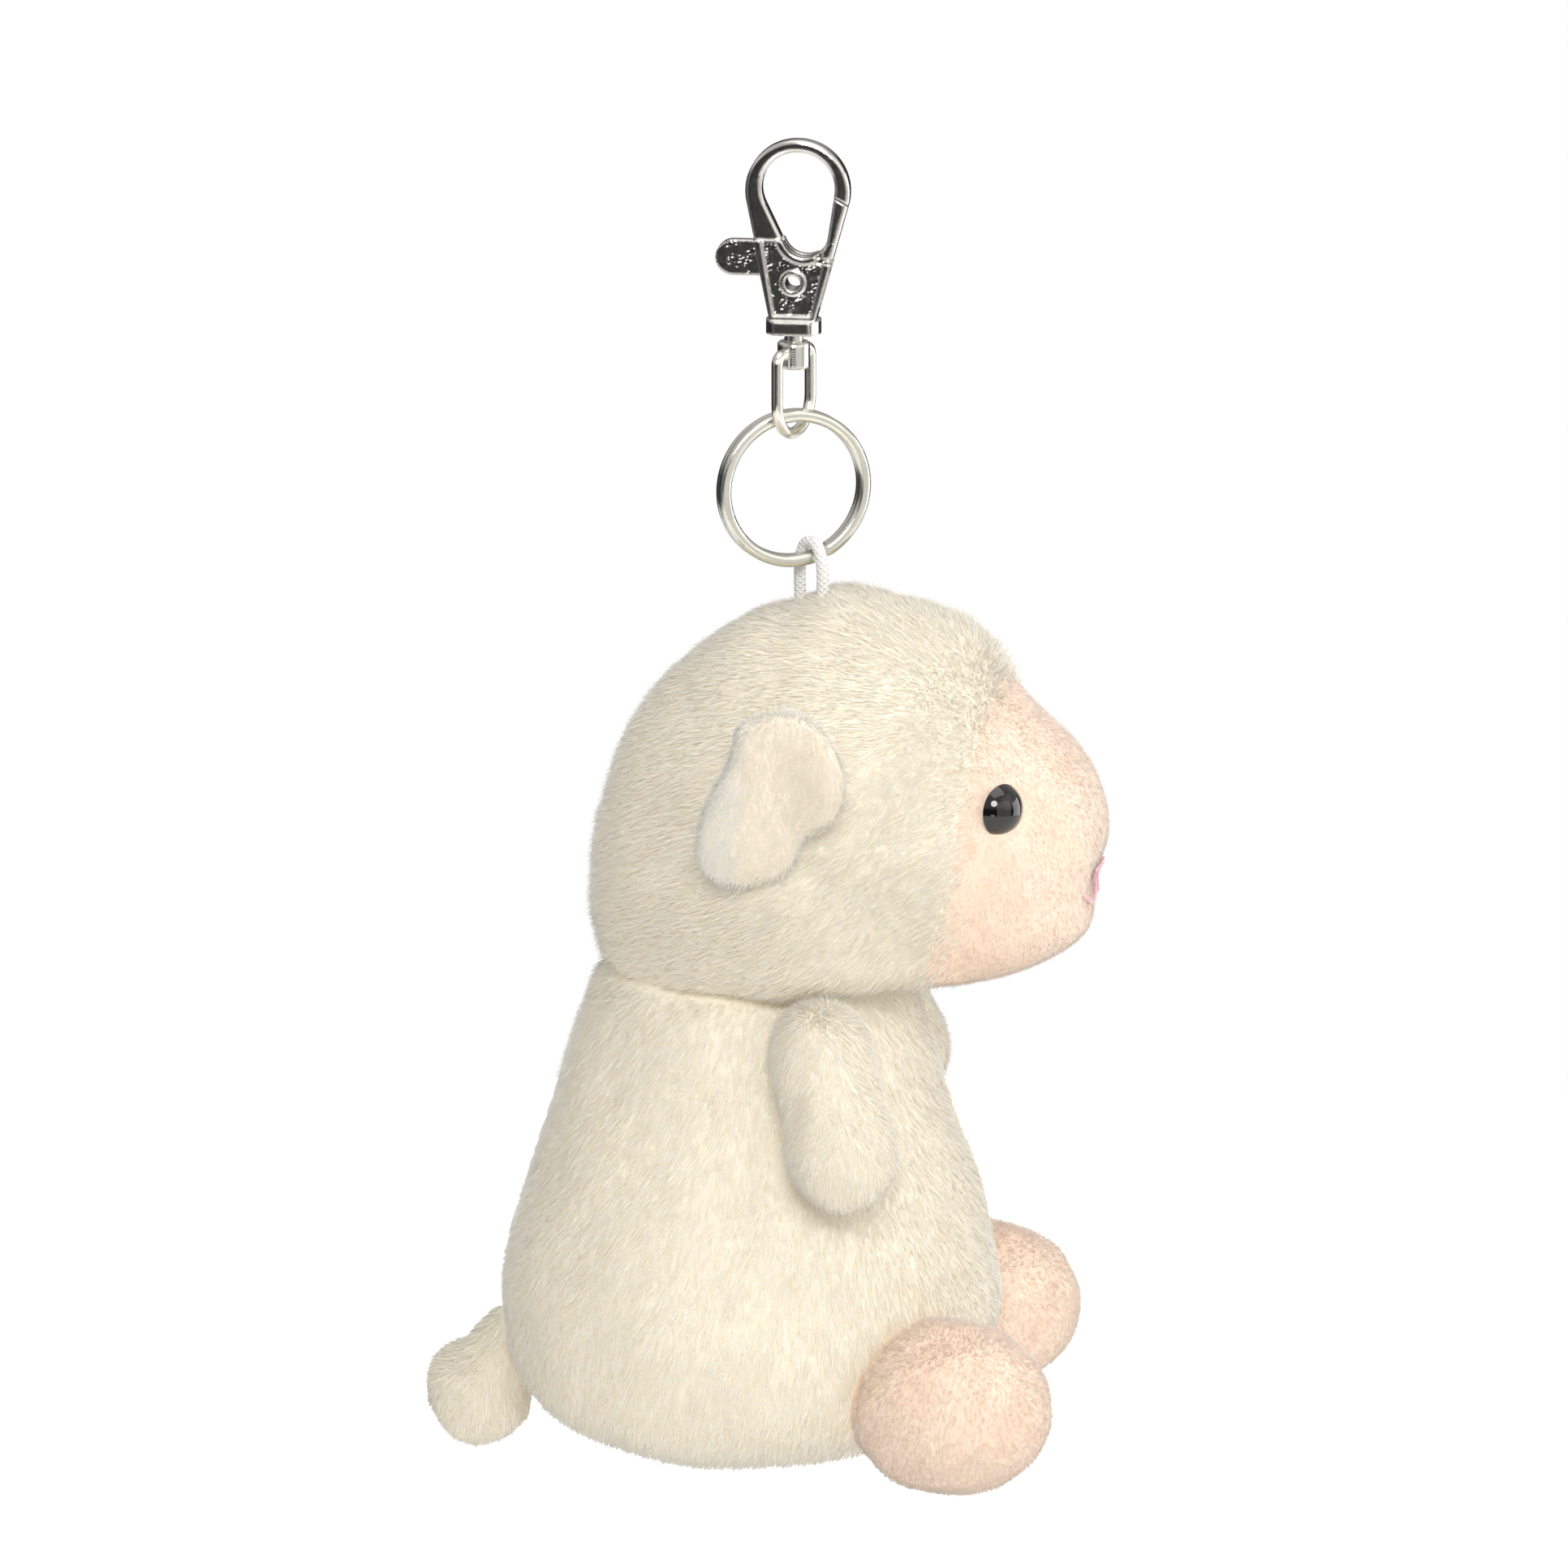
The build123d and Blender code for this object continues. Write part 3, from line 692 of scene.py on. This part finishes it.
cord_points = [in_cord_plane(a, z) for a, z in CORD_ROUTE]
cord = tube("cord_loop", [cord_points], CORD_R, "plush", cord_look())
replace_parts(cord, "hang_cord")


STITCH_PROUD, THREAD_R = 0.55, 0.2
MOUTH = ((0.1, -91.7), (2.4, -92.7), (4.9, -92.3), (7.2, -91.0))


def on_face(x, z):
    """A point just off the muzzle's front, at x and z."""
    front = head.points[head.points[:, 1] < -25]
    near = front[np.argsort(np.hypot(front[:, 0] - x, front[:, 2] - z))[:3]]
    return (x, near[:, 1].mean() - STITCH_PROUD, z)


def nose():
    """Satin-stitched nose, and the stitched line and mouth under it."""
    look = Look("pink_thread", linear(240, 196, 208), 0.5, Sheen_Weight=0.3, Specular_IOR_Level=0.5)
    look.tint(look.noise(0.5), [(0.35, linear(226, 172, 192)), (0.65, linear(246, 208, 216))])
    look.bump(look.bands(0.05, "DIAGONAL"), 0.01, 0.6)
    lines = []
    for i in range(8):
        z, half = -88.5 - i * 0.25, 3.4 * (1 - i / 9.5) ** 0.6
        sway = 0.05 * math.sin(i * 2.3)
        lines.append([on_face(x, z + sway) for x in (-half, -half * 0.5, 0, half * 0.5, half)])
    lines.append([on_face(0.05 * math.sin(k), -90.3 - k * 0.35) for k in range(5)])
    for side in (-1, 1):
        lines.append([on_face(side * x, z) for x, z in MOUTH])
    return tube("nose_satin", lines, THREAD_R, "plush", look.material)


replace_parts(nose(), "nose_stitches")


# ---------------------------------------------------------------- floor, light and camera

def floor():
    bm = bmesh.new()
    bmesh.ops.create_circle(bm, cap_ends=True, segments=96, radius=0.40)
    mesh = bpy.data.meshes.new("floor")
    bm.to_mesh(mesh)
    bm.free()
    paper = Look("floor_paper", (0.96, 0.96, 0.955), 0.9, Emission_Color=(1, 1, 1, 1))
    seen = paper.node("LightPath").outputs["Is Camera Ray"]
    paper.tree.links.new(seen, paper.shader.inputs["Emission Strength"])
    mesh.materials.append(paper.material)
    piece = bpy.data.objects.new("floor", mesh)
    piece.location = (0, 0, -0.215)
    bpy.context.scene.collection.objects.link(piece)


def studio():
    """White room: bright above and below, dim round the horizon for the metal, white where it shows."""
    world = bpy.data.worlds.new("studio")
    bpy.context.scene.world = world
    world.use_nodes = True
    tree = world.node_tree
    background = tree.nodes["Background"]
    place = tree.nodes.new("ShaderNodeTexCoord")
    split = tree.nodes.new("ShaderNodeSeparateXYZ")
    ramp = tree.nodes.new("ShaderNodeValToRGB")
    spread = tree.nodes.new("ShaderNodeMapRange")
    spread.inputs["From Min"].default_value = -1
    stops = [(0.0, 0.5), (0.24, 0.45), (0.35, 0.03), (0.54, 0.02), (0.66, 0.5), (1.0, 0.62)]
    ramp.color_ramp.elements[0].position, ramp.color_ramp.elements[1].position = stops[0][0], stops[-1][0]
    for i, (at, level) in enumerate(stops):
        if 0 < i < len(stops) - 1:
            ramp.color_ramp.elements.new(at)
        ramp.color_ramp.elements[i].color = (level, level * 0.99, level * 0.975, 1)
    rays = tree.nodes.new("ShaderNodeLightPath")
    mix = tree.nodes.new("ShaderNodeMix")
    mix.data_type = "RGBA"
    mix.inputs["B"].default_value = (1, 1, 1, 1)
    link = tree.links.new
    link(place.outputs["Generated"], split.inputs[0])
    link(split.outputs["Z"], spread.inputs["Value"])
    link(spread.outputs[0], ramp.inputs["Fac"])
    link(ramp.outputs["Color"], mix.inputs["A"])
    link(rays.outputs["Is Camera Ray"], mix.inputs["Factor"])
    link(mix.outputs["Result"], background.inputs["Color"])


def lamp(name, place, aim, size, watts, colour=(1, 1, 1), shape="RECTANGLE"):
    data = bpy.data.lights.new(name, "AREA")
    data.shape = shape
    data.size = size[0]
    data.size_y = size[1]
    data.energy = watts
    data.color = colour
    lamp_object = bpy.data.objects.new(name, data)
    lamp_object.location = place
    lamp_object.rotation_euler = (Vector(aim) - Vector(place)).to_track_quat("-Z", "Y").to_euler()
    bpy.context.scene.collection.objects.link(lamp_object)


def camera(azimuth, elevation, distance, target, lens):
    a, e = math.radians(azimuth), math.radians(elevation)
    away = Vector((math.sin(a) * math.cos(e), -math.cos(a) * math.cos(e), math.sin(e)))
    data = bpy.data.cameras.new("camera")
    data.lens = lens
    data.sensor_width = 36
    data.clip_end = 20
    eye = bpy.data.objects.new("camera", data)
    eye.location = Vector(target) + away * distance
    eye.rotation_euler = (-away).to_track_quat("-Z", "Y").to_euler()
    bpy.context.scene.collection.objects.link(eye)
    bpy.context.scene.camera = eye


floor()
studio()
CENTRE = (0, 0, -0.09)
lamp("key", (-0.69, -0.09, 0.34), CENTRE, (0.34, 0.34), 3.1, (1, 0.99, 0.96), "DISK")
lamp("low", (-0.78, -0.025, -0.313), (0, 0, -0.08), (0.19, 0.19), 0.20, (1, 1, 1), "DISK")
lamp("front", (-0.60, -0.66, -0.06), CENTRE, (1.0, 1.2), 2.6, (1, 0.985, 0.94))
lamp("face", (-0.25, -0.90, 0.35), CENTRE, (0.9, 0.9), 1.0, (1, 0.985, 0.95))
lamp("back", (-0.50, 0.85, 0.10), CENTRE, (0.7, 0.9), 0.45, (0.95, 0.98, 1))
lamp("top", (-0.1, -0.1, 0.75), CENTRE, (0.7, 0.7), 2.2)
lamp("rim", (0.30, -0.85, -0.22), CENTRE, (0.7, 0.9), 4.4, (1, 1, 1))
camera(-83, 13, 2.4, (0, 0.0018, -0.0795), 447.0)
bpy.context.scene.view_settings.view_transform = "Standard"
